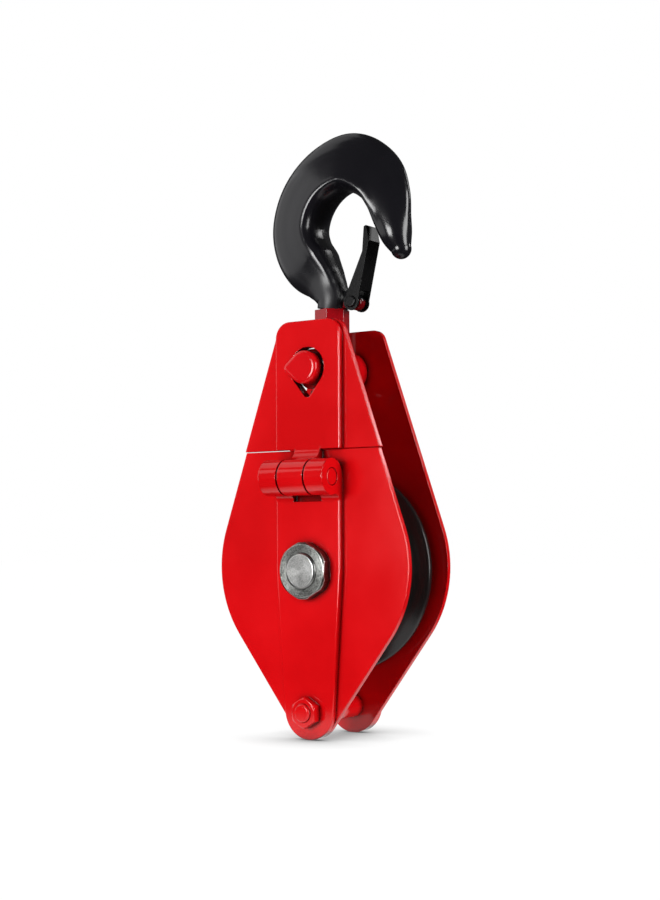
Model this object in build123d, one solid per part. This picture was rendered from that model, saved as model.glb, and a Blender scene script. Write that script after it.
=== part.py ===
"""Opening-side pulley block with a swivel hook, in millimetres.

The origin is the centre of the sheave, on the axle. +Z points up to the hook,
the side with the hinged gate faces -Y, and the hook opens towards +X.
"""
from build123d import *
from math import asin, cos, radians, sin, sqrt
import os

# Clearances
running_fit = 0.05        # radial, where a shaft turns in its bore
swivel_fit = 0.10         # radial, where a forging turns in its bore
side_gap = 0.30           # between pieces that slide past each other
bolt_gap = 0.25           # radial, where a bolt passes through a hole
past = 1.0                # how far a cutting shape runs past a face
weld = 0.01               # overlap that joins two shapes of one forging

# Cheeks and their straps
cheek_gap = 45.0          # clear space between the two cheeks
cheek_t = 3.5
strap_t = 4.0
cheek_cover = 7.5         # the cheek's round stands out past the sheave
belly_rise = 2.6          # centre of that round above the axle
shoulder_angle = 19.2     # lean of the upper edges from the vertical
tip_r = 19.6              # round at the bottom of cheek and strap
tip_z = -92.6
strap_half = 26.0
top_z = 168.0
closed_top_z = 165.0      # the closed side ends a little lower
strap_corner_r = 11.0
cheek_corner_r = 9.0
edge_round = 0.8          # worn corner on the outer face of a strap

# Gate and its hinge
seam_z = 80.8
seam_gap = 0.6
gate_margin = 1.2         # the gate's sheet stands out past the cheek
gate_strap_half = 26.4
knuckle_r = 12.2
knuckle_half = 10.3       # half length of the gate's own knuckle
knuckle_gap = 1.2
hinge_z = 62.0
hinge_pin_r = 6.0
hinge_end_chamfer = 0.8
notch_z = 46.0            # top of the strap between its two knuckle leaves
knuckle_blend_r = 4.0     # hollow between a knuckle and its leaf
gate_blend_r = 8.5        # the gate's tab bends out to its knuckle

# Cross-head
head_z = 136.0
bar_r = 14.5
bar_flat = 13.4           # the flats above and below, from the bar's axis
trunnion_r = 11.2
peach_reach = 15.6        # the nose, from the axis
peach_nose_r = 3.4
peach_t = 6.0
peach_bevel = 2.4
trunnion_chamfer = 1.4
peach_hole_r = 13.9
peach_hole_reach = 20.0
peach_hole_nose_r = 3.6
trunnion_washer_r = 17.0
trunnion_washer_t = 2.5
trunnion_tail = 6.5       # past the washer
cotter_r = 1.9
cotter_overhang = 3.5
bar_chamfer = 1.0

# Hook
shank_r = 8.2             # inside the cross-head
hook_base_r = 10.2
collar_flats = 21.0
collar_chamfer = 1.2
collar_turn = 16.0        # degrees, as the collar stands in the photograph
collar_top_z = 178.0
bowl_x = 15.4             # centre of the bowl's round, off the shank
bowl_z = 234.0
bowl_line_r = 43.8        # centre line of the hook's round body
body_r = 19.8
swivel_washer_r = 15.0
swivel_washer_t = 2.5
swivel_nut_flats = 24.0
swivel_nut_h = 10.0
shank_tail = 3.0
stem_chamfer = 1.0
nut_pin_r = 1.6

# Sections of the hook's body: centre in X and Z, and radius. The flank leads from
# the shank to the round of the bowl, the beak from there down to the tip.
flank = [(1.2, 185.5, 11.4), (-1.8, 191.4, 12.7), (-6.5, 197.8, 14.9),
         (-15.6, 207.9, 19.1), (-24.6, 220.0, 19.8)]
bowl_turns = (180, 157, 135, 112, 90)
beak = [(31.0, 271.7, 19.1), (41.0, 262.5, 18.0), (46.6, 250.9, 16.1),
        (50.4, 235.2, 13.3), (53.8, 222.2, 10.3), (56.6, 214.6, 7.0)]

# Latch
rivet_x = 20.4
rivet_z = 181.5
rivet_r = 2.4
rivet_head_r = 4.0
rivet_head_t = 1.6
rivet_head_round = 0.9
lug_half = 3.2
lug_r = 5.2
lug_root_r = 6.2
lug_root_rise = 5.0       # the lug's root on the shank, above the rivet
ear_r = 5.8
latch_half = 7.0          # half the channel's width, outside
latch_sheet = 1.5
web_foot = (25.2, 179.0)  # outer line of the channel's back, in X and Z
web_knee = (35.0, 222.0)
web_top = (33.0, 232.4)
lip = (1.8, 0.6)          # the top edge's run, inwards and down from web_top
throat = (5.2, 7.0)       # inner corner of the side walls, in and down from web_knee
flank_angle = 34.0        # where the inner flank leaves the ear, above level
web_low_z = 189.0         # the back is cut away below this, clear of the lug
spring_wire_r = 0.45
spring_turns = 2
spring_gap = 0.2          # between the coil and the lug's side

# Sheave and axle
sheave_r = 69.5
rim_half = 15.5
rope_r = 8.0              # round of the groove, for a 14 mm rope
groove_depth = 14.5       # from the rim to the groove's floor
groove_flare = 24.0       # lean of the groove's walls, each side
web_half = 6.0
hub_r = 25.0
hub_half = 20.6
rim_depth = 20.0          # from the rim's outside to its inside
web_slope = 3.0           # how far the web's ends splay into hub and rim
rim_round = 1.0
bush_r = 16.0
thrust_washer_r = 22.0
thrust_washer_t = 1.6
axle_r = 12.0
axle_end_chamfer = 1.2
axle_nut_flats = 36.0
axle_nut_h = 7.5
axle_proud = 2.0          # the axle's end past its nut
axle_head_r = 18.0
axle_head_t = 7.0
axle_head_chamfer = 1.5

axle_nut_face_r = 18.5    # the nut's corners are turned away, nearly to its flats
axle_nut_corner_r = 19.6

# Nuts
nut_face_share = 0.98     # turned face of a nut, of its width across the flats
nut_cone = 30.0

# Tie bolt
tie_drop = 1.1            # the bolt stands below the centre of the tip's round
tie_r = 6.0
tie_nut_flats = 18.0
tie_nut_h = 6.5
tie_proud = 2.0
tie_head_t = 7.5
tie_end_chamfer = 0.8
spacer_r = 8.0

# Sizes that follow from the ones above, and planes that several pieces share
belly_r = sheave_r + cheek_cover
groove_r = sheave_r - groove_depth
rim_shelf_r = sheave_r - rim_depth
tie_z = tip_z - tie_drop
inner_face = cheek_gap / 2
cheek_face = inner_face + cheek_t
strap_face = cheek_face + strap_t
hinge_y = -(cheek_face + side_gap + knuckle_r)
tie_face_r = tie_nut_flats / 2 * nut_face_share
tie_corner_r = tie_nut_flats / sqrt(3) + past


def plate(sketch, y_low, y_high):
    """Extrude an X-Z sketch between two planes of constant Y."""
    plane = Plane(origin=(0, y_high, 0), x_dir=(1, 0, 0), z_dir=(0, -1, 0))
    return extrude(plane * sketch, y_high - y_low)


def rod(radius, y_low, y_high, x=0.0, z=0.0):
    """A round bar along Y."""
    return plate(Pos(x, z) * Circle(radius), y_low, y_high)


def upright(radius, z_low, z_high):
    """A round bar along Z."""
    return extrude(Pos(0, 0, z_low) * Circle(radius), z_high - z_low)


def tangent_outline(upper_r, upper_z, lower_r, lower_z, shoulder, top):
    """Half of an almond outline, from its top corner round to its lowest point.

    A straight upper edge leans by shoulder and meets the upper circle, whose
    round runs into a straight lower edge tangent to the lower circle.
    """
    lean = radians(shoulder)
    taper = asin((upper_r - lower_r) / (upper_z - lower_z))
    middle = (lean - taper) / 2
    top_half = (upper_r - (top - upper_z) * sin(lean)) / cos(lean)
    corner = (top_half, top)
    high = (upper_r * cos(lean), upper_z + upper_r * sin(lean))
    side = (upper_r * cos(middle), upper_z + upper_r * sin(middle))
    low = (upper_r * cos(taper), upper_z - upper_r * sin(taper))
    foot = (lower_r * cos(taper), lower_z - lower_r * sin(taper))
    return corner, high, side, low, foot


def almond(upper_r, upper_z, lower_r, lower_z, shoulder, top, corner_r):
    """The whole outline as a face, the same on both sides of X = 0."""
    half = tangent_outline(upper_r, upper_z, lower_r, lower_z, shoulder, top)
    corner, high, side, low, foot = half
    edges = []
    for sign in (1, -1):
        flip = [(sign * x, z) for x, z in (corner, high, side, low, foot)]
        edges.append(Line(flip[0], flip[1]))
        edges.append(ThreePointArc(flip[1], flip[2], flip[3]))
        edges.append(Line(flip[3], flip[4]))
    edges.append(ThreePointArc(foot, (0, lower_z - lower_r), (-foot[0], foot[1])))
    edges.append(Line(corner, (-corner[0], corner[1])))
    face = make_face(edges)
    return fillet(face.vertices().sort_by(Axis.Y)[-2:], corner_r)


def cheek_sketch(top, margin=0.0):
    """The pear-shaped sheet of one side."""
    return almond(belly_r + margin, belly_rise, tip_r, tip_z, shoulder_angle,
                  top, cheek_corner_r)


def strap_sketch(half_width, top):
    """The bar on the outside of a cheek: straight, then narrowing to its round end."""
    return almond(half_width, 0, tip_r, tip_z, 0, top, strap_corner_r)


def band(z_low, z_high):
    """A wide X-Z rectangle that keeps only a stretch of height."""
    width = 4 * belly_r
    return Pos(0, (z_low + z_high) / 2) * Rectangle(width, z_high - z_low)


def drop(radius, reach, nose_r, turn=0.0):
    """A peach outline: a circle drawn out to a rounded nose below it."""
    nose_z = -(reach - nose_r)
    taper = asin((radius - nose_r) / -nose_z)
    right = (radius * cos(taper), -radius * sin(taper))
    low = (nose_r * cos(taper), nose_z - nose_r * sin(taper))
    edges = [
        ThreePointArc(right, (0, radius), (-right[0], right[1])),
        Line((-right[0], right[1]), (-low[0], low[1])),
        ThreePointArc((-low[0], low[1]), (0, -reach), low),
        Line(low, right),
    ]
    return Pos(0, head_z) * (Rot(0, 0, turn) * make_face(edges))


def hexagon(across_flats):
    """A hexagon with a corner up."""
    return RegularPolygon(across_flats / sqrt(3), 6, rotation=90)


def hex_nut(across_flats, height, bore_r, face_y, outward, face_r, rim_r, z=0.0):
    """A hexagon nut that bears on the plane face_y and stands out along Y.

    Its outer corners are turned down by a cone from rim_r to face_r, which leaves
    the scalloped edges of a real nut.
    """
    fall = (rim_r - face_r) * sin(radians(nut_cone)) / cos(radians(nut_cone))
    profile = Polygon((0, 0), (rim_r, 0), (rim_r, height - fall), (face_r, height),
                      (0, height), align=None)
    body = extrude(hexagon(across_flats), height) & revolve(Plane.XZ * profile, Axis.Z)
    if bore_r:
        body -= Cylinder(bore_r, 3 * height)
    return Pos(0, face_y, z) * (Rot(-90 * outward, 0, 0) * body)


def knuckle(x_low, x_high, leaf_low, leaf_high, back, blend_r):
    """An eye around the hinge pin, with the leaf that joins it to its strap."""
    eye = Pos(hinge_y, hinge_z) * Circle(knuckle_r)
    leaf = Pos(-(back + strap_face) / 2, (leaf_low + leaf_high) / 2) * Rectangle(
        strap_face - back, leaf_high - leaf_low)
    profile = eye + leaf
    inner = [v for v in profile.vertices()
             if abs(v.X + strap_face) < weld and abs(v.Y - hinge_z) < knuckle_r]
    profile = fillet(inner, blend_r)
    return extrude(Plane(origin=(x_low, 0, 0), x_dir=(0, 1, 0), z_dir=(1, 0, 0)) * profile,
                   x_high - x_low)


def hinge_bore(radius):
    """The hole along the hinge axis."""
    bore = Plane(origin=(-2 * strap_half, hinge_y, hinge_z), z_dir=(1, 0, 0)) * Circle(radius)
    return extrude(bore, 4 * strap_half)


def make_rear_cheek():
    """The one-piece sheet of the closed side."""
    sheet = plate(cheek_sketch(closed_top_z), inner_face, cheek_face)
    return sheet - rear_holes()


def rear_holes():
    """Holes through the closed side: axle, tie bolt and cross-head."""
    low, high = inner_face - past, strap_face + past
    return (rod(axle_r + bolt_gap, low, high)
            + rod(tie_r + bolt_gap, low, high, z=tie_z)
            + rod(trunnion_r + swivel_fit, low, high, z=head_z))


def make_rear_strap():
    """The strap of the closed side, from the cross-head to the tie bolt."""
    bar = plate(strap_sketch(strap_half, closed_top_z), cheek_face, strap_face)
    rim = bar.faces().sort_by(Axis.Y)[-1].edges()
    bar = fillet(rim, edge_round)
    return bar - rear_holes()


def front_holes():
    """Holes through the lower front side: axle and tie bolt."""
    low, high = -strap_face - past, -inner_face + past
    return rod(axle_r + bolt_gap, low, high) + rod(tie_r + bolt_gap, low, high, z=tie_z)


def make_front_cheek():
    """The lower sheet of the opening side, cut off at the seam."""
    lower = cheek_sketch(top_z) & band(tip_z - 2 * tip_r, seam_z - seam_gap / 2)
    return plate(lower, -cheek_face, -inner_face) - front_holes()


def make_front_strap():
    """The lower strap with its two outer knuckles."""
    lower = strap_sketch(strap_half, top_z) & band(tip_z - 2 * tip_r, notch_z)
    bar = plate(lower, -strap_face, -cheek_face)
    rim = bar.faces().sort_by(Axis.Y)[0].edges().filter_by(
        lambda e: e.center().Z < notch_z - weld)
    bar = fillet(rim, edge_round)
    inner_x = knuckle_half + knuckle_gap
    for low, high in ((-strap_half, -inner_x), (inner_x, strap_half)):
        bar += knuckle(low, high, notch_z - weld, hinge_z, cheek_face, knuckle_blend_r)
    bar -= hinge_bore(hinge_pin_r)
    return bar - front_holes()


def peach_hole():
    """The peach-shaped hole through the gate, its point down."""
    return plate(drop(peach_hole_r, peach_hole_reach, peach_hole_nose_r),
                 -strap_face - past, -inner_face + past)


def make_gate_cheek():
    """The upper sheet of the opening side, which swings with the gate."""
    upper = cheek_sketch(top_z, gate_margin) & band(seam_z + seam_gap / 2, top_z + past)
    return plate(upper, -cheek_face, -inner_face) - peach_hole()


def make_gate_strap():
    """The gate's strap with its middle knuckle."""
    upper = strap_sketch(gate_strap_half, top_z) & band(seam_z + seam_gap / 2, top_z + past)
    bar = plate(upper, -strap_face, -cheek_face)
    rim = bar.faces().sort_by(Axis.Y)[0].edges().filter_by(
        lambda e: e.center().Z > seam_z + seam_gap / 2 + weld)
    bar = fillet(rim, edge_round)
    tab_top = hinge_z + knuckle_r + gate_blend_r + past
    bar += knuckle(-knuckle_half, knuckle_half, hinge_z, tab_top,
                   cheek_face + side_gap, gate_blend_r)
    bar -= hinge_bore(hinge_pin_r + running_fit)
    return bar - peach_hole()


def make_hinge_pin():
    """The pin through the three knuckles, flush with their ends."""
    end = Plane(origin=(-strap_half, hinge_y, hinge_z), z_dir=(1, 0, 0))
    pin = extrude(end * Circle(hinge_pin_r), 2 * strap_half)
    return chamfer(pin.edges().filter_by(GeomType.CIRCLE), hinge_end_chamfer)


def make_crosshead():
    """The cross-head: a bar between the cheeks, a trunnion each side, a peach head.

    The nose of the head points to -X, across the hole's point, and locks the
    gate. The shank of the hook turns in the upright bore.
    """
    reach = inner_face - side_gap
    bar = rod(bar_r, -reach, reach, z=head_z)
    bar = chamfer(bar.edges().filter_by(GeomType.CIRCLE), bar_chamfer)
    flats = Pos(0, 0, head_z) * Box(4 * bar_r, 4 * bar_r, 2 * bar_flat)
    bar &= flats
    tail_end = strap_face + side_gap + trunnion_washer_t + trunnion_tail
    bar += chamfer(rod(trunnion_r, 0, tail_end, z=head_z).edges().sort_by(Axis.Y)[-1],
                   trunnion_chamfer)
    head_back = -(strap_face + side_gap)
    bar += rod(trunnion_r, head_back - peach_bevel, 0, z=head_z)
    head = plate(drop(trunnion_r, peach_reach, peach_nose_r, turn=-90),
                 head_back - peach_t, head_back)
    bar += fillet(head.faces().sort_by(Axis.Y)[0].edges(), peach_bevel)
    bar -= upright(shank_r + swivel_fit, head_z - 2 * bar_r, head_z + 2 * bar_r)
    return bar - cotter_hole()


def cotter_y():
    """Middle of the hole for the split pin behind the trunnion's washer."""
    return strap_face + side_gap + trunnion_washer_t + side_gap + cotter_r


def cotter_hole():
    """The upright hole for the split pin in the trunnion's tail."""
    hole = Pos(0, cotter_y(), head_z) * Cylinder(cotter_r, 4 * trunnion_r)
    return hole


def make_crosshead_washer():
    """The washer that keeps the cross-head in the closed side."""
    low = strap_face + side_gap
    ring = rod(trunnion_washer_r, low, low + trunnion_washer_t, z=head_z)
    return ring - rod(trunnion_r + bolt_gap, low - past, low + 2 * trunnion_washer_t, z=head_z)


def make_crosshead_pin():
    """The spring pin through the trunnion's tail."""
    length = 2 * (trunnion_r + cotter_overhang)
    pin = Pos(0, cotter_y(), head_z) * Cylinder(cotter_r, length)
    return chamfer(pin.edges().filter_by(GeomType.CIRCLE), cotter_r / 4)


def hook_stations():
    """Centre and radius of each section along the hook's body, from shank to beak."""
    stations = [(0.0, collar_top_z, hook_base_r)] + flank
    for turn in bowl_turns:
        angle = radians(turn)
        stations.append((bowl_x + bowl_line_r * cos(angle),
                         bowl_z + bowl_line_r * sin(angle), body_r))
    return stations + beak


def hook_body():
    """The round body of the hook, lofted through its sections and closed at the tip.

    Each section stands square to the line between its two neighbours.
    """
    stations = hook_stations()
    first, last = stations[0], stations[-1]
    before = [(first[0], first[1] - past)] + stations[:-1]
    after = stations[1:] + [(2 * last[0] - stations[-2][0], 2 * last[1] - stations[-2][1])]
    sections = []
    for (x, z, radius), back, ahead in zip(stations, before, after):
        along = (ahead[0] - back[0], 0, ahead[1] - back[1])
        if (x, z) == first[:2]:
            along = (0, 0, 1)
        sections.append(Plane(origin=(x, 0, z), x_dir=(0, 1, 0), z_dir=along) * Circle(radius))
    tip_x, tip_z, tip_radius = last
    return loft(sections) + Pos(tip_x, 0, tip_z) * Sphere(tip_radius)


def hook_lug():
    """The flat lug beside the shank that carries the latch."""
    root = Pos(hook_base_r / 2, rivet_z + lug_root_rise) * Circle(lug_root_r)
    lug = make_hull((Pos(rivet_x, rivet_z) * Circle(lug_r)).edges() + root.edges())
    return plate(lug, -lug_half, lug_half)


def shank_end_z():
    """Bottom of the shank, under the swivel nut."""
    return head_z - bar_flat - side_gap - swivel_washer_t - swivel_nut_h - shank_tail


def make_hook():
    """The hook forging: shank, body, beak and the latch's lug."""
    body = hook_body()
    stem = upright(shank_r, shank_end_z(), collar_top_z + shank_r)
    stem = chamfer(stem.edges().filter_by(GeomType.CIRCLE).sort_by(Axis.Z)[0], stem_chamfer)
    whole = body + stem + hook_lug()
    whole -= rod(rivet_r, -body_r, body_r, rivet_x, rivet_z)
    return whole - nut_pin_hole()


def make_neck_collar():
    """The hexagonal collar on the shank, between the hook and the cross-head."""
    low = head_z + bar_flat + side_gap
    section = Pos(0, 0, low) * (Rot(0, 0, collar_turn) * hexagon(collar_flats))
    collar = extrude(section, collar_top_z - low)
    collar = chamfer(collar.faces().sort_by(Axis.Z)[0].edges(), collar_chamfer)
    return collar - upright(shank_r, low - past, collar_top_z + past)


def make_swivel_washer():
    """The thrust washer between the cross-head and the swivel nut."""
    high = head_z - bar_flat - side_gap
    ring = upright(swivel_washer_r, high - swivel_washer_t, high)
    return ring - upright(shank_r + swivel_fit, high - 2 * swivel_washer_t, high + past)


def nut_pin_z():
    """Height of the cross pin through the swivel nut."""
    return head_z - bar_flat - side_gap - swivel_washer_t - swivel_nut_h / 2


def nut_pin_hole():
    """The hole along X through swivel nut and shank."""
    return Pos(0, 0, nut_pin_z()) * (Rot(0, 90, 0) * Cylinder(nut_pin_r, 4 * shank_r))


def make_swivel_nut():
    """The nut on the end of the shank, under the cross-head."""
    high = nut_pin_z() + swivel_nut_h / 2
    nut = extrude(Pos(0, 0, high - swivel_nut_h) * hexagon(swivel_nut_flats), swivel_nut_h)
    nut -= upright(shank_r, high - 2 * swivel_nut_h, high + past)
    return nut - nut_pin_hole()


def make_nut_pin():
    """The pin that locks the swivel nut on the shank."""
    return Pos(0, 0, nut_pin_z()) * (Rot(0, 90, 0) * Cylinder(nut_pin_r, swivel_nut_flats))


def web_line(inset, foot_z):
    """The channel's back as three points, moved in from its outer face by inset."""
    lean = (web_knee[0] - web_foot[0]) / (web_knee[1] - web_foot[1])
    foot_x = web_knee[0] - (web_knee[1] - foot_z) * lean
    return [(foot_x - inset, foot_z), (web_knee[0] - inset, web_knee[1]),
            (web_top[0] - inset, web_top[1])]


def latch_outline():
    """Side view of the latch: ears round the rivet, narrowing up to the beak."""
    ear = Pos(rivet_x, rivet_z) * Circle(ear_r)
    foot, knee, top = web_line(0, rivet_z)
    lean = radians(flank_angle)
    blade = Polygon(foot, knee, top, (top[0] - lip[0], top[1] - lip[1]),
                    (knee[0] - throat[0], knee[1] - throat[1]),
                    (rivet_x - ear_r * cos(lean), rivet_z + ear_r * sin(lean)),
                    (rivet_x, rivet_z), align=None)
    return ear + blade


def make_latch():
    """The pressed latch: a channel that straddles the lug and closes the throat."""
    channel = plate(latch_outline(), -latch_half, latch_half)
    foot, knee, top = web_line(latch_sheet, web_low_z)
    far, above, below = rivet_x - 4 * ear_r, top[1] + ear_r, rivet_z - 2 * ear_r
    hollow = Polygon(foot, knee, (top[0], above), (far, above), (far, below),
                     (web_knee[0], below), (web_knee[0], web_low_z), align=None)
    inside = latch_half - latch_sheet
    channel -= plate(hollow, -inside, inside)
    return channel - rod(rivet_r + running_fit, -2 * latch_half, 2 * latch_half,
                         rivet_x, rivet_z)


def make_latch_rivet():
    """The rivet through ears and lug, with a low head each side."""
    face = latch_half + side_gap / 3
    outer = face + rivet_head_t
    rivet = rod(rivet_r, -face, face, rivet_x, rivet_z)
    for low, high in ((-outer, -face), (face, outer)):
        rivet += rod(rivet_head_r, low, high, rivet_x, rivet_z)
    rims = rivet.edges().filter_by(lambda e: abs(e.center().Y) > outer - weld)
    return fillet(rims, rivet_head_round)


def make_latch_spring():
    """The spring: close turns round the rivet on each side of the lug."""
    turn_r = rivet_r + bolt_gap + spring_wire_r
    coils = []
    for side in (-1, 1):
        for turn in range(spring_turns):
            y = side * (lug_half + spring_gap + spring_wire_r * (1 + 2 * turn))
            ring = Rot(90, 0, 0) * Torus(turn_r, spring_wire_r)
            coils.append(Pos(rivet_x, y, rivet_z) * ring)
    return Compound(children=coils)


def sheave_profile():
    """Section of the sheave in the radius-width plane, the same on both sides."""
    lean = radians(groove_flare)
    wall_r = groove_r + rope_r * (1 - sin(lean))
    wall_y = rope_r * cos(lean)
    mouth_y = wall_y + (sheave_r - wall_r) * sin(lean) / cos(lean)
    side = [(bush_r, hub_half), (hub_r, hub_half), (hub_r + web_slope, web_half),
            (rim_shelf_r - web_slope, web_half), (rim_shelf_r, rim_half),
            (sheave_r, rim_half), (sheave_r, mouth_y), (wall_r, wall_y)]
    edges = [ThreePointArc((wall_r, wall_y), (groove_r, 0), (wall_r, -wall_y)),
             Line((bush_r, hub_half), (bush_r, -hub_half))]
    for sign in (1, -1):
        points = [(r, sign * y) for r, y in side]
        edges += [Line(p, q) for p, q in zip(points, points[1:])]
    section = make_face(edges)
    corners = [v for v in section.vertices() if v.X > sheave_r - weld]
    return fillet(corners, rim_round)


def make_sheave():
    """The grooved wheel, turned from one casting."""
    return revolve(Plane.XY * sheave_profile(), Axis.Y)


def make_sheave_bush():
    """The bronze bush pressed into the hub."""
    bore = rod(axle_r + running_fit, -hub_half - past, hub_half + past)
    return rod(bush_r, -hub_half, hub_half) - bore


def make_thrust_washer(side):
    """A thin washer between the hub and one cheek."""
    low, high = sorted((side * (inner_face - thrust_washer_t), side * inner_face))
    return rod(thrust_washer_r, low, high) - rod(axle_r + bolt_gap, low - past, high + past)


def make_axle():
    """The axle: a headed pin, its bare end in front standing past its nut."""
    front = -(strap_face + axle_nut_h + axle_proud)
    pin = rod(axle_r, front, strap_face)
    pin = chamfer(pin.edges().filter_by(GeomType.CIRCLE).sort_by(Axis.Y)[0], axle_end_chamfer)
    head = rod(axle_head_r, strap_face, strap_face + axle_head_t)
    rim = head.edges().filter_by(GeomType.CIRCLE).sort_by(Axis.Y)[-1]
    return pin + chamfer(rim, axle_head_chamfer)


def make_axle_nut():
    """The thin hexagon nut on the front end of the axle."""
    return hex_nut(axle_nut_flats, axle_nut_h, axle_r, -strap_face, -1,
                   axle_nut_face_r, axle_nut_corner_r)


def make_tie_bolt():
    """The bolt that ties the two tips together, its head behind."""
    front = -(strap_face + tie_nut_h + tie_proud)
    shaft = rod(tie_r, front, strap_face, z=tie_z)
    rim = shaft.edges().filter_by(GeomType.CIRCLE).sort_by(Axis.Y)[0]
    shaft = chamfer(rim, tie_end_chamfer)
    return shaft + hex_nut(tie_nut_flats, tie_head_t, 0, strap_face, 1,
                           tie_face_r, tie_corner_r, tie_z)


def make_tie_nut():
    """The nut on the front of the tie bolt."""
    return hex_nut(tie_nut_flats, tie_nut_h, tie_r, -strap_face, -1,
                   tie_face_r, tie_corner_r, tie_z)


def make_tie_spacer():
    """The tube on the tie bolt that keeps the tips apart."""
    tube = rod(spacer_r, -inner_face, inner_face, z=tie_z)
    return tube - rod(tie_r + bolt_gap, -inner_face - past, inner_face + past, z=tie_z)


parts = {
    "rear_cheek": make_rear_cheek(),
    "rear_strap": make_rear_strap(),
    "front_cheek": make_front_cheek(),
    "front_strap": make_front_strap(),
    "gate_cheek": make_gate_cheek(),
    "gate_strap": make_gate_strap(),
    "hinge_pin": make_hinge_pin(),
    "crosshead": make_crosshead(),
    "crosshead_washer": make_crosshead_washer(),
    "crosshead_pin": make_crosshead_pin(),
    "hook": make_hook(),
    "neck_collar": make_neck_collar(),
    "swivel_washer": make_swivel_washer(),
    "swivel_nut": make_swivel_nut(),
    "nut_pin": make_nut_pin(),
    "latch": make_latch(),
    "latch_rivet": make_latch_rivet(),
    "latch_spring": make_latch_spring(),
    "sheave": make_sheave(),
    "sheave_bush": make_sheave_bush(),
    "front_thrust_washer": make_thrust_washer(-1),
    "rear_thrust_washer": make_thrust_washer(1),
    "axle": make_axle(),
    "axle_nut": make_axle_nut(),
    "tie_bolt": make_tie_bolt(),
    "tie_nut": make_tie_nut(),
    "tie_spacer": make_tie_spacer(),
}

os.makedirs("parts", exist_ok=True)
for name, solid in parts.items():
    export_step(solid, f"parts/{name}.step")
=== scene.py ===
"""Dress for the opening-side pulley block: red enamel, black forged hook, bare steel axle.

The part's solids come in as the fixed frame, in metres. Each section below is one
piece or group of like pieces, in the order in which the block is put together.
"""

import bpy
import numpy as np
from mathutils import Matrix, Vector


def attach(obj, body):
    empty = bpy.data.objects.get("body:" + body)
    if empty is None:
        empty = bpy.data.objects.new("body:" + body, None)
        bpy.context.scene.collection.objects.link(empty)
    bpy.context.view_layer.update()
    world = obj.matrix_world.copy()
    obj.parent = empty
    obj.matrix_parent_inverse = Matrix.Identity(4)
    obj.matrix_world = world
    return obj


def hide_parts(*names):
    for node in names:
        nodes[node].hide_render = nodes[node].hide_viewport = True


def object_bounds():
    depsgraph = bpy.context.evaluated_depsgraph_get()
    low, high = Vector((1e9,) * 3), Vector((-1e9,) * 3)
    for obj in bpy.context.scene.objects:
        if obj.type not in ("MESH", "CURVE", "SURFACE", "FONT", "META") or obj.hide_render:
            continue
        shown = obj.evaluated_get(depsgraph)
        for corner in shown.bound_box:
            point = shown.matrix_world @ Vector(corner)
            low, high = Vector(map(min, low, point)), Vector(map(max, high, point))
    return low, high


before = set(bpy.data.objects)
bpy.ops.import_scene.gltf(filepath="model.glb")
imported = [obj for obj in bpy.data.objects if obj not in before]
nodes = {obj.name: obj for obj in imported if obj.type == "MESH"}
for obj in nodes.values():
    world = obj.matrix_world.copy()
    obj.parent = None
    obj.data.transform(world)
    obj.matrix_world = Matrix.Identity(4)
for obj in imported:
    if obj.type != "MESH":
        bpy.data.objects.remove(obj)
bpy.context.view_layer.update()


# The cheeks. Three flat sheets of 3.5 mm steel, cut to a pear shape and dipped in
# red enamel: the closed side in one piece, the opening side cut off at the seam.
# The enamel pulls thin and round over every edge, so edges catch a pale line of light.
class Socket:
    """One socket of a material. Arithmetic on it adds Math nodes to the tree."""

    def __init__(self, tree, socket=None):
        self.tree = tree
        self.socket = socket

    def node(self, kind, settings=None, out=0, **sockets):
        """Add a node, set its properties, feed its sockets, and wrap one output.

        A socket is named by its label with _ for a blank, or by n0, n1 for its place.
        """
        node = self.tree.nodes.new(kind)
        for name, value in (settings or {}).items():
            setattr(node, name, value)
        for name, value in sockets.items():
            place = int(name[1:]) if name[1:].isdigit() else name.replace("_", " ")
            if isinstance(value, Socket):
                self.tree.links.new(value.socket, node.inputs[place])
            else:
                node.inputs[place].default_value = value
        return Socket(self.tree, node.outputs[out] if len(node.outputs) else None)

    def math(self, operation, *values):
        """A Math node on this socket and up to two more values."""
        rest = {f"n{i}": value for i, value in enumerate((self,) + values)}
        return self.node("ShaderNodeMath", {"operation": operation}, **rest)

    def __add__(self, other):
        return self.math("ADD", other)

    def __mul__(self, other):
        return self.math("MULTIPLY", other)

    def __sub__(self, other):
        return self.math("SUBTRACT", other)

    def __rsub__(self, other):
        return self * -1.0 + other

    __radd__ = __add__
    __rmul__ = __mul__

    def mix(self, low, high):
        """Blend two colours by this factor."""
        return self.node("ShaderNodeMix", {"data_type": "RGBA"}, out=2,
                         n0=self, n6=low, n7=high)

    def ramp(self, start, end):
        """0 at start and 1 at end, in a straight line and held beyond."""
        return self.node("ShaderNodeMapRange", Value=self, From_Min=start, From_Max=end)

    def length(self):
        """Length of a vector."""
        return self.node("ShaderNodeVectorMath", {"operation": "LENGTH"}, out=1, n0=self)

    def height(self):
        """The z of a position."""
        return self.node("ShaderNodeSeparateXYZ", out=2, n0=self)


def new_material(name):
    """An empty material and a Socket that starts its tree, with object coordinates."""
    material = bpy.data.materials.new(name)
    material.use_nodes = True
    tree = material.node_tree
    tree.nodes.clear()
    start = Socket(tree)
    place = start.node("ShaderNodeTexCoord", out=3)
    return material, start, place


def noise(place, scale, detail):
    """Noise with a grain of about 1 / scale metres."""
    return place.node("ShaderNodeTexNoise", Vector=place, Scale=scale, Detail=detail)


def openness(start, reach, samples=6):
    """1 where nothing stands within reach of the surface, less in a corner."""
    return start.node("ShaderNodeAmbientOcclusion", {"samples": samples}, out=1, Distance=reach)


def rounded(start, radius, samples=8):
    """The surface's normal, bent over its sharp edges as if they had this radius."""
    return start.node("ShaderNodeBevel", {"samples": samples}, Radius=radius)


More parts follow.
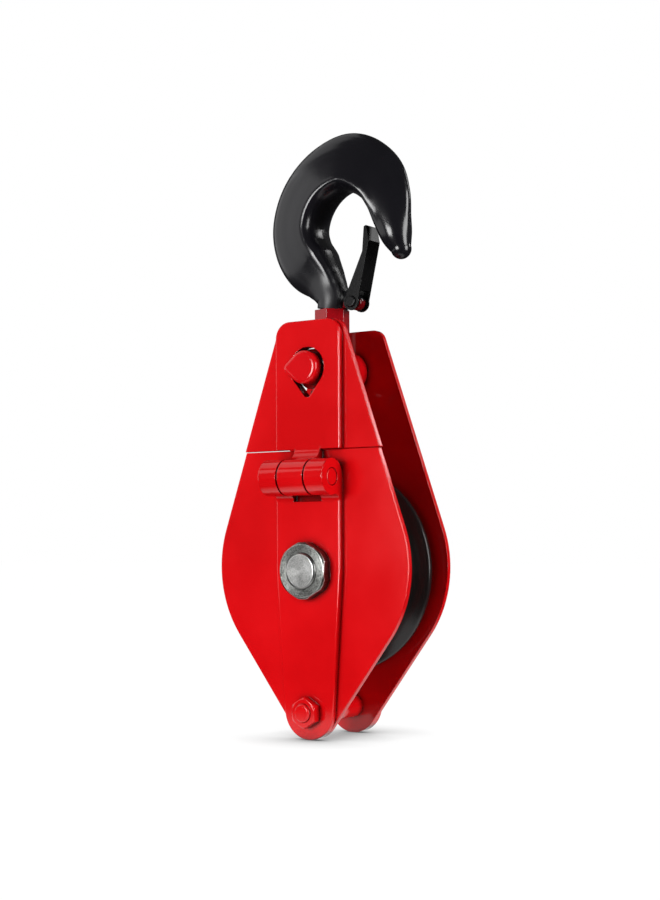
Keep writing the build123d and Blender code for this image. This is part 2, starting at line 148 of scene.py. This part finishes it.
def bumped(start, height, distance, strength, normal):
    """A normal that follows a height over another normal."""
    return start.node("ShaderNodeBump", Height=height, Distance=distance,
                      Strength=strength, Normal=normal)


def surface(start, **sockets):
    """Close a material with a Principled shader fed by these sockets."""
    shader = start.node("ShaderNodeBsdfPrincipled", **sockets)
    start.node("ShaderNodeOutputMaterial", Surface=shader)


def enamel(name, colour, deep, edge_round=0.0009, peel=0.00003, gloss=0.07, shine=0.5,
           dull_below=None):
    """Glossy dipped paint: a slow drift of colour, orange peel, and rounded edges.

    The colour drifts between two tones over a hand's breadth and is darkened in corners as
    painted shade. Orange peel is fine noise under the coat, and Bevel rounds each sharp
    edge by edge_round. Below the height dull_below the coat is dusted and duller.
    """
    corner_shade_share, corner_shade_reach = 0.14, 0.009
    dust_fade, dust_roughness = 0.022, 0.22
    material, start, place = new_material(name)
    drift = noise(place, scale=14.0, detail=3.0).ramp(0.36, 0.64)
    orange_peel = noise(place, scale=260.0, detail=2.0)
    # Corners, where ambient occlusion finds something close, are darkened: painted shade.
    painted_shade_colour = tuple(part * corner_shade_share for part in deep[:3]) + (1,)
    unshaded_share = openness(start, corner_shade_reach).ramp(0.40, 0.80)
    roughness = drift * 0.05 + gloss
    if dull_below:
        dust = place.height().ramp(dull_below, dull_below - dust_fade)
        roughness = dust * dust_roughness + roughness
    surface(start, Base_Color=unshaded_share.mix(painted_shade_colour, drift.mix(deep, colour)), Roughness=roughness,
            Specular_IOR_Level=shine,
            Normal=bumped(start, orange_peel, peel, 0.5, rounded(start, edge_round)))
    return material


def paint(names, material):
    """Give CAD nodes their material."""
    for name in names:
        slots = nodes[name].data.materials
        slots.clear()
        slots.append(material)


red_enamel = enamel("red enamel", (0.71, 0.0036, 0.0062, 1), (0.60, 0.0024, 0.0042, 1))
paint(["rear_cheek", "front_cheek", "gate_cheek"], red_enamel)


# The straps. Steel bars welded to the outside of each sheet, which carry the load from
# the cross-head to the axle and the tie bolt. They were dipped together with the sheets.
paint(["rear_strap", "front_strap", "gate_strap"], red_enamel)


# The hinge pin. A steel pin through the three rolled knuckles, on which the gate turns.
# Its ends were painted over with the block.
paint(["hinge_pin"], red_enamel)


# The cross-head. A steel forging with a trunnion each way and the peach-shaped head that
# locks the gate; a washer and a pin hold it in the closed side. Its painted skin is
# coarser than the sheets' and its edges are rounder.
forged_red = enamel("red enamel on forging", (0.70, 0.0040, 0.0080, 1),
                    (0.56, 0.0024, 0.0050, 1), edge_round=0.0020, peel=0.00010)
paint(["crosshead"], forged_red)
paint(["crosshead_washer", "crosshead_pin"], red_enamel)


# The hook. One drop forging in black enamel: a round neck that swells into a broad bowl,
# widest at a ridge beside the throat, with flat flanks that narrow towards the back, and
# a beak that tapers to a blunt round tip. It stands in place of the round lofted solid.
bowl_from, bowl_by = 0.01, 0.13
beak_from, beak_by = 0.40, 0.70
tip_from, tip_by = 0.76, 1.0
pole_r = 0.00001

# Rows of the line are x, z and radius in mm. Rows of a half section are the distance
# towards the throat and the half thickness, both as shares of that radius.
hook_line = np.array([
    (0.0, 178.0, 10.2), (1.2, 185.5, 11.4), (-1.8, 191.4, 12.7), (-6.5, 197.8, 14.9),
    (-15.6, 207.9, 19.1), (-24.6, 220.0, 19.8), (-28.4, 234.0, 19.8), (-24.92, 251.11, 19.8),
    (-15.57, 264.97, 19.8), (-1.01, 274.61, 19.8), (15.4, 277.8, 19.8), (31.0, 271.7, 19.1),
    (41.0, 262.5, 18.0), (46.6, 250.9, 16.1), (50.4, 235.2, 13.3), (53.8, 222.2, 10.3),
    (56.6, 214.6, 7.0)]) / 1000
bowl_half = np.array([
    (1.0, 0.0), (0.98, 0.26), (0.94, 0.48), (0.87, 0.66), (0.79, 0.765), (0.74, 0.802),
    (0.68, 0.812), (0.45, 0.785), (0.0, 0.695), (-0.35, 0.62), (-0.65, 0.52),
    (-0.86, 0.35), (-0.965, 0.17), (-1.0, 0.0)])
beak_half = np.array([
    (0.98, 0.0), (0.95, 0.25), (0.885, 0.46), (0.81, 0.63), (0.755, 0.735), (0.71, 0.785),
    (0.65, 0.80), (0.58, 0.79), (0.30, 0.695), (-0.10, 0.55), (-0.50, 0.405),
    (-0.80, 0.30), (-0.98, 0.205), (-1.06, 0.10), (-1.08, 0.0)])


def smooth_through(points, steps):
    """Points on a smooth line through the rows given, and how far along each lies.

    Between two rows each column is the cubic whose slope at a row is the difference
    of its two neighbours over their distance along the line.
    """
    run = np.r_[0, np.cumsum(np.linalg.norm(np.diff(points[:, :2], axis=0), axis=1))]
    slope = np.gradient(points, run, axis=0)
    at = np.linspace(0, run[-1], steps)
    left = np.clip(np.searchsorted(run, at, side="right") - 1, 0, len(run) - 2)
    span = (run[left + 1] - run[left])[:, None]
    t = ((at - run[left]) / span[:, 0])[:, None]
    line = ((2 * t**3 - 3 * t**2 + 1) * points[left] + (t**3 - 2 * t**2 + t) * span * slope[left]
            + (3 * t**2 - 2 * t**3) * points[left + 1] + (t**3 - t**2) * span * slope[left + 1])
    return line, at / run[-1]


def ease(value, start, end):
    """0 before start and 1 after end, with a smooth S between them."""
    t = np.clip((value - start) / (end - start), 0, 1)
    return t * t * (3 - 2 * t)


def skin(name, grid, body, material, smooth=True, capped=True):
    """A mesh over a grid of points: rows along the piece, columns right round it.

    The columns turn right-handed about the way the rows advance, so faces point out.
    """
    rows, columns = grid.shape[:2]
    index = np.arange(rows * columns).reshape(rows, columns)
    after = np.roll(index, -1, axis=1)
    faces = np.stack([index[:-1], after[:-1], after[1:], index[1:]], axis=-1).reshape(-1, 4)
    faces = faces.tolist()
    if capped:
        faces += [index[0, ::-1].tolist(), index[-1].tolist()]
    mesh = bpy.data.meshes.new(name)
    mesh.from_pydata(grid.reshape(-1, 3).tolist(), [], faces)
    mesh.polygons.foreach_set("use_smooth", np.full(len(faces), smooth))
    mesh.materials.append(material)
    mesh.update()
    piece = bpy.data.objects.new(name, mesh)
    bpy.context.scene.collection.objects.link(piece)
    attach(piece, body)
    return piece


def section_radius(half, from_throat):
    """A section's radius at each angle from the throat, from its half's smooth outline."""
    outline, _ = smooth_through(half, 400)
    return np.interp(from_throat, np.arctan2(outline[:, 1], outline[:, 0]),
                     np.hypot(outline[:, 0], outline[:, 1]))


def hook_skin(rows=300, columns=216, tip_rings=14):
    """The forging as a tube: at each station along the line, a ring square to it.

    A ring is a circle at the neck and the tip. Between bowl_from and bowl_by, as shares
    of the line, it becomes the bowl's section, by beak_by the beak's, and from tip_from
    on it turns round again. The tip closes as a half sphere, down to a ring of pole_r.
    """
    line, along = smooth_through(hook_line, rows)
    x, z, radius = line.T
    ahead = np.gradient(line[:, :2], axis=0)
    ahead /= np.linalg.norm(ahead, axis=1)[:, None]
    inward = np.stack([ahead[:, 1], -ahead[:, 0]], axis=1)
    tip = np.linspace(0, np.pi / 2, tip_rings)[1:]
    x = np.r_[x, x[-1] + radius[-1] * np.sin(tip) * ahead[-1, 0]]
    z = np.r_[z, z[-1] + radius[-1] * np.sin(tip) * ahead[-1, 1]]
    radius = np.r_[radius, np.maximum(radius[-1] * np.cos(tip), pole_r)]
    inward = np.r_[inward, np.repeat(inward[-1:], len(tip), axis=0)]
    along = np.r_[along, np.ones(len(tip))][:, None]
    angle = np.linspace(0, 2 * np.pi, columns, endpoint=False)
    from_throat = np.abs((angle + np.pi) % (2 * np.pi) - np.pi)
    bowl = section_radius(bowl_half, from_throat)
    beak = section_radius(beak_half, from_throat)
    section = bowl + ease(along, beak_from, beak_by) * (beak - bowl)
    flatness = ease(along, bowl_from, bowl_by) * (1 - ease(along, tip_from, tip_by))
    ring = radius[:, None] * (1 + flatness * (section - 1))
    across = ring * np.cos(angle)
    return np.stack([x[:, None] + inward[:, :1] * across, ring * np.sin(angle),
                     z[:, None] + inward[:, 1:] * across], axis=-1)


black_enamel = enamel("black enamel", (0.0080, 0.0074, 0.0100, 1),
                      (0.0050, 0.0048, 0.0066, 1), edge_round=0.0004, gloss=0.17,
                      dull_below=0.212)
forging = skin("hook_forging", hook_skin(), "hook_body", black_enamel)
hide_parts("hook")


# The shank. The hook's own stem, turned to a plain cylinder, which runs down through the
# collar and the cross-head to its nut. Its lower end has a chamfer.
# Rows of the profile are height and radius in mm, from end to end.
shank_profile = np.array([(106.8, 0.1), (106.8, 7.0), (108.0, 8.2), (108.2, 8.2),
                          (178.0, 8.2), (178.0, 0.2)]) / 1000


def shank_skin(columns=96):
    """The stem as a lathe shape: each row of its profile is a circle round z."""
    angle = np.linspace(0, 2 * np.pi, columns, endpoint=False)
    height, radius = shank_profile.T[:, :, None]
    return np.stack([radius * np.cos(angle), radius * np.sin(angle), height + 0 * angle], axis=-1)


shank = skin("hook_shank", shank_skin(), "hook_body", black_enamel)


# The latch's lug. A flat ear forged on the neck's side, which carries the rivet that the
# latch turns on. The block's red was sprayed over its lower part.
rivet_x, rivet_z, ear_r = 0.0204, 0.1815, 0.0052
root_x, root_z, root_r = 0.0051, 0.1865, 0.0062
lug_turn = 0.25
overspray_top, overspray_full = 0.1835, 0.1815

# Rows are a ring's distance in front of the hook's middle in mm and its share of the rim.
lug_rings = np.array([(-3.2, 0.001), (-3.2, 0.93), (-3.0, 0.98), (-2.7, 1.0),
                      (2.7, 1.0), (3.0, 0.98), (3.2, 0.93), (3.2, 0.001)])


def lug_skin(columns=96):
    """The ear as rings from its back face over the rim to its front face.

    The rim is an arc about the rivet on the side that faces away from the neck, as seen
    with lug_turn radians added, and one about the root on the other side. Each ring is
    the rim drawn in towards its middle by the ring's share.
    """
    angle = np.linspace(0, 2 * np.pi, columns, endpoint=False)
    by_rivet = np.cos(angle + lug_turn) > 0
    rim_x = np.where(by_rivet, rivet_x + ear_r * np.cos(angle), root_x + root_r * np.cos(angle))
    rim_z = np.where(by_rivet, rivet_z + ear_r * np.sin(angle), root_z + root_r * np.sin(angle))
    forward, share = lug_rings.T[:, :, None]
    x = rim_x.mean() + (rim_x - rim_x.mean()) * share
    z = rim_z.mean() + (rim_z - rim_z.mean()) * share
    return np.stack([x, -forward / 1000 + 0 * x, z], axis=-1)


def oversprayed_paint(name, own, over):
    """Gloss paint with a second colour faded in over its lower part."""
    material, start, place = new_material(name)
    sprayed = place.height().ramp(overspray_top, overspray_full)
    surface(start, Base_Color=sprayed.mix(own, over), Roughness=0.16)
    return material


lug_paint = oversprayed_paint("black enamel under red overspray", (0.005, 0.005, 0.006, 1),
                              (0.13, 0.001, 0.003, 1))
lug = skin("latch_lug", lug_skin(), "hook_body", lug_paint)


# The collar and what holds the shank. A hexagonal steel sleeve on the shank, with thin
# red over black, and under the cross-head a washer and a nut that a pin stops.
collar_red = enamel("red enamel over black", (0.34, 0.0016, 0.0060, 1),
                    (0.20, 0.0008, 0.0030, 1))
paint(["neck_collar"], collar_red)
paint(["swivel_washer", "swivel_nut", "nut_pin"], red_enamel)


# The latch. A channel pressed from 1.5 mm sheet and blackened, which straddles the lug
# on a low-headed rivet and closes the throat. Its cut edges are a little rounded, and
# a coil spring of bare steel between its ears holds it shut.
def turned_metal(name, light, dark, rings=0.5):
    """Bare metal with the rings of a lathe tool and a grey bloom in patches.

    The rings are a wave of the distance from the block's cross axis y, broken up by
    noise. Edges, where the rounded normal leaves the plain one, are painted pale as a painted
    highlight, and corners are painted dark as painted shade.
    """
    painted_corner_shade, painted_edge_highlight = (0.02, 0.02, 0.02, 1), (0.9, 0.9, 0.88, 1)
    material, start, place = new_material(name)
    flat = start.node("ShaderNodeVectorMath", {"operation": "MULTIPLY"}, n0=place, n1=(1, 0, 1))
    patches = noise(place, scale=170.0, detail=4.0)
    grain = noise(place, scale=1400.0, detail=3.0)
    wave = (flat.length() * 9000.0 + patches * 6.0).math("SINE")
    edge = rounded(start, 0.0008)
    plain_normal = start.node("ShaderNodeNewGeometry", out=1)
    evenness = start.node("ShaderNodeVectorMath", {"operation": "DOT_PRODUCT"}, out=1,
                          n0=edge, n1=plain_normal)
    tone = patches * 0.9 + grain * 3.0 - 1.45
    # Corners, where ambient occlusion finds something close, are darkened: painted shade.
    tone_under_painted_shade = openness(start, 0.0035).ramp(0.50, 0.85).mix(painted_corner_shade, tone.mix(dark, light))
    # Edges, where the rounded normal leaves the plain one, turn pale: a painted highlight.
    surface(start, Base_Color=evenness.ramp(0.995, 0.93).mix(tone_under_painted_shade, painted_edge_highlight), Metallic=1.0,
            Roughness=grain * 0.12 + 0.24,
            Normal=bumped(start, wave * rings + grain, 0.00003, 0.6, edge))
    return material


latch_black = enamel("blackened latch", (0.0045, 0.0042, 0.0046, 1),
                     (0.0030, 0.0030, 0.0032, 1), edge_round=0.0003, gloss=0.24, shine=0.18)
steel = turned_metal("parted-off steel", (0.33, 0.33, 0.32, 1), (0.15, 0.15, 0.15, 1))
paint(["latch", "latch_rivet"], latch_black)
paint(["latch_spring"], steel)


# The sheave. A grey iron casting, turned in groove and rim and painted a thin satin
# black. Its hub turns on the axle with a bush between them.
def cast_paint(name, colour):
    """Thin satin paint over a casting: a coarse skin that breaks the gloss."""
    material, start, place = new_material(name)
    cast_skin = noise(place, scale=160.0, detail=5.0)
    surface(start, Base_Color=colour, Roughness=cast_skin * 0.14 + 0.12,
            Normal=bumped(start, cast_skin, 0.00012, 0.5, rounded(start, 0.0018, samples=6)))
    return material


paint(["sheave"], cast_paint("satin black casting", (0.014, 0.010, 0.010, 1)))


# The bush and the thrust washers. Bronze, turned from bar: the bush is pressed into the
# sheave's hub, and a washer on each side keeps the hub off the sheet.
bronze = turned_metal("bronze", (0.66, 0.42, 0.19, 1), (0.50, 0.32, 0.15, 1))
paint(["sheave_bush", "front_thrust_washer", "rear_thrust_washer"], bronze)


# The axle and its nut. Bare steel: the axle's end was parted off and left dull. The nut's
# corners are turned away nearly to its flats, and its face is faced in fine rings. It is
# drawn here in place of the solid, whose face is broader.
across, nut_corner, nut_face = 0.0180, 0.0190, 0.0176
axle_r, nut_back, nut_front = 0.0120, 0.0300, 0.0375
cone_depth, cone_slope = 0.0012, 1.3


def nut_skin(columns=360, cone_rings=13):
    """The nut's outside as rings from its bore, over face and cone, down to its back.

    At depth d under the face the radius is the least of the hexagon's, across over
    the cosine of the angle from the nearest flat's middle, the corner's, and the
    turned cone's, nut_face + cone_slope * d.
    """
    angle = np.linspace(0, 2 * np.pi, columns, endpoint=False)
    from_flat = (angle + np.pi / 6) % (np.pi / 3) - np.pi / 6
    depth = np.r_[np.linspace(0, cone_depth, cone_rings), nut_front - nut_back]
    outside = np.minimum(across / np.cos(from_flat)[None, :], nut_corner)
    outside = np.minimum(outside, nut_face + cone_slope * depth[:, None])
    bore = np.full((1, columns), axle_r)
    ring = np.concatenate([bore, bore, outside, bore])
    forward = np.r_[nut_back, nut_front, nut_front - depth, nut_back][:, None]
    return np.stack([ring * np.cos(angle), -forward + 0 * ring, -ring * np.sin(angle)], axis=-1)


nut_steel = turned_metal("turned steel", (0.21, 0.215, 0.205, 1), (0.03, 0.031, 0.029, 1),
                         rings=1.2)
paint(["axle"], steel)
nut = skin("turned_nut", nut_skin(), "frame_body", nut_steel, smooth=False, capped=False)
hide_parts("axle_nut")


# The tie bolt. A steel bolt with its nut, and a tube between the sheets that holds the
# two tips apart. They were painted with the block, so they are red all over.
paint(["tie_bolt", "tie_nut", "tie_spacer"], red_enamel)


# The floor. Paper white to the camera, with a painted soft shadow where the block stands
# close over it. Polished faces mirror only a glowing pool of it round the block's foot, a
# painted reflection, and the block is lit from below by it as by white paint, painted pale
# only near the block and dark further off, a painted pool of light.
floor_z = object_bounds()[0].z
floor_half = 6.0


def fading_disc(place, full, gone):
    """1 within the radius full of the middle and 0 beyond gone, with a smooth edge."""
    return place.node("ShaderNodeMapRange", {"interpolation_type": "SMOOTHSTEP"},
                      Value=place.length(), From_Min=full, From_Max=gone,
                      To_Min=1.0, To_Max=0.0)


def floor_paint(name):
    """One light for the camera with a painted shadow in it, a glowing pool for mirrors as a
    painted reflection, and diffuse paint for the rest, pale near the block and dark further
    off as a painted pool of light.
    """
    white, nearly_black = (1, 1, 1, 1), (0.02, 0.02, 0.02, 1)
    material, start, place = new_material(name)
    # The floor's paint is pale near the block and dark further off: a painted pool of light.
    painted_light_pool = fading_disc(place, 0.25, 0.60)
    # Mirrors see a glowing white pool round the block's foot and black beyond: a painted
    # reflection.
    glowing_reflection_pool = fading_disc(place, 0.16, 0.26)
    lit = start.node("ShaderNodeBsdfDiffuse",
                     Color=painted_light_pool.mix((0.12, 0.12, 0.12, 1), (0.85, 0.85, 0.85, 1)))
    # The camera's white is darkened where the block stands close over it: a painted shadow.
    glow = start.node("ShaderNodeEmission", Strength=1.0,
                      Color=openness(start, 0.045, samples=16).mix(nearly_black, white))
    shade = start.node("ShaderNodeBsdfDiffuse", Color=(0.04, 0.04, 0.04, 1))
    seen = start.node("ShaderNodeAddShader", n0=glow, n1=shade)
    mirrored = start.node("ShaderNodeEmission", Strength=1.0,
                          Color=glowing_reflection_pool.mix(nearly_black, (0.95, 0.95, 0.95, 1)))
    camera_ray = start.node("ShaderNodeLightPath", out=0)
    glossy_ray = start.node("ShaderNodeLightPath", out=3)
    unseen = start.node("ShaderNodeMixShader", n0=glossy_ray, n1=lit, n2=mirrored)
    both = start.node("ShaderNodeMixShader", n0=camera_ray, n1=unseen, n2=seen)
    start.node("ShaderNodeOutputMaterial", Surface=both)
    return material


floor_mesh = bpy.data.meshes.new("floor")
floor_mesh.from_pydata([(-floor_half, -floor_half, floor_z), (floor_half, -floor_half, floor_z),
                        (floor_half, floor_half, floor_z), (-floor_half, floor_half, floor_z)],
                       [], [(0, 1, 2, 3)])
floor = bpy.data.objects.new("floor", floor_mesh)
bpy.context.scene.collection.objects.link(floor)
floor_mesh.materials.append(floor_paint("floor white"))


# The room. The camera sees a white backdrop, while paint and steel mirror dim walls
# between the lamps.
wall_light, backdrop_light = 0.06, 1.0
world = bpy.data.worlds.new("studio")
bpy.context.scene.world = world
world.use_nodes = True
world.node_tree.nodes.clear()
room = Socket(world.node_tree)
camera_ray = room.node("ShaderNodeLightPath", out=0)
walls = room.node("ShaderNodeBackground", Color=(1, 1, 1, 1), Strength=wall_light)
backdrop = room.node("ShaderNodeBackground", Color=(1, 1, 1, 1), Strength=backdrop_light)
both = room.node("ShaderNodeMixShader", n0=camera_ray, n1=walls, n2=backdrop)
room.node("ShaderNodeOutputWorld", Surface=both)


# The lamps. A low key in front and to the left gives the red its level, and panels on
# the left, overhead and on the right are mirrored in what faces them. A strip behind
# lights the edges that face away.
def lamp(name, place, aim, width, height, watts):
    """A rectangular soft lamp at a place, facing a point."""
    data = bpy.data.lights.new(name, "AREA")
    data.shape = "RECTANGLE"
    data.size = width
    data.size_y = height
    data.energy = watts
    obj = bpy.data.objects.new(name, data)
    bpy.context.scene.collection.objects.link(obj)
    obj.location = place
    obj.rotation_euler = (Vector(aim) - Vector(place)).to_track_quat("-Z", "Y").to_euler()


middle, far_above = (0, 0, 0.09), (0, 0, 0.90)
lamp("front softbox", (-0.30, -1.43, 0.17), middle, width=0.7, height=0.54, watts=18.5)
lamp("left panel", (-1.40, -0.50, 0.30), middle, width=1.6, height=1.8, watts=8.7)
lamp("high panel", (-0.75, -0.08, 1.20), middle, width=0.9, height=0.9, watts=1.7)
lamp("right panel", (1.33, 0.05, 0.20), middle, width=0.6, height=1.2, watts=21.0)
lamp("rear strip", (0.72, 1.15, 0.90), far_above, width=0.25, height=0.6, watts=3.0)


# The camera, fitted to the photograph: 35 degrees round to the right and a little
# below the middle, with the picture 660 by 900. The sensor's long side is upright.
azimuth, elevation, roll = np.radians((35.0, -3.19, -0.32))
away = 1.08785
focal_pixels, picture_height, sensor_side = 1586.37, 900, 36.0
target = Vector((-0.00246, 0, 0.0819))
ahead = Vector((-np.sin(azimuth) * np.cos(elevation), np.cos(azimuth) * np.cos(elevation),
                -np.sin(elevation)))
level = Vector((np.cos(azimuth), np.sin(azimuth), 0))
upward = level.cross(ahead)
right = level * np.cos(roll) + upward * np.sin(roll)
up = upward * np.cos(roll) - level * np.sin(roll)
camera = bpy.data.objects.new("camera", bpy.data.cameras.new("camera"))
bpy.context.scene.collection.objects.link(camera)
camera.matrix_world = Matrix((right, up, -ahead)).transposed().to_4x4()
camera.location = target - ahead * away
camera.data.sensor_width = sensor_side
camera.data.lens = focal_pixels / picture_height * sensor_side
camera.data.clip_end = 50.0
bpy.context.scene.camera = camera
bpy.context.scene.view_settings.view_transform = "Standard"
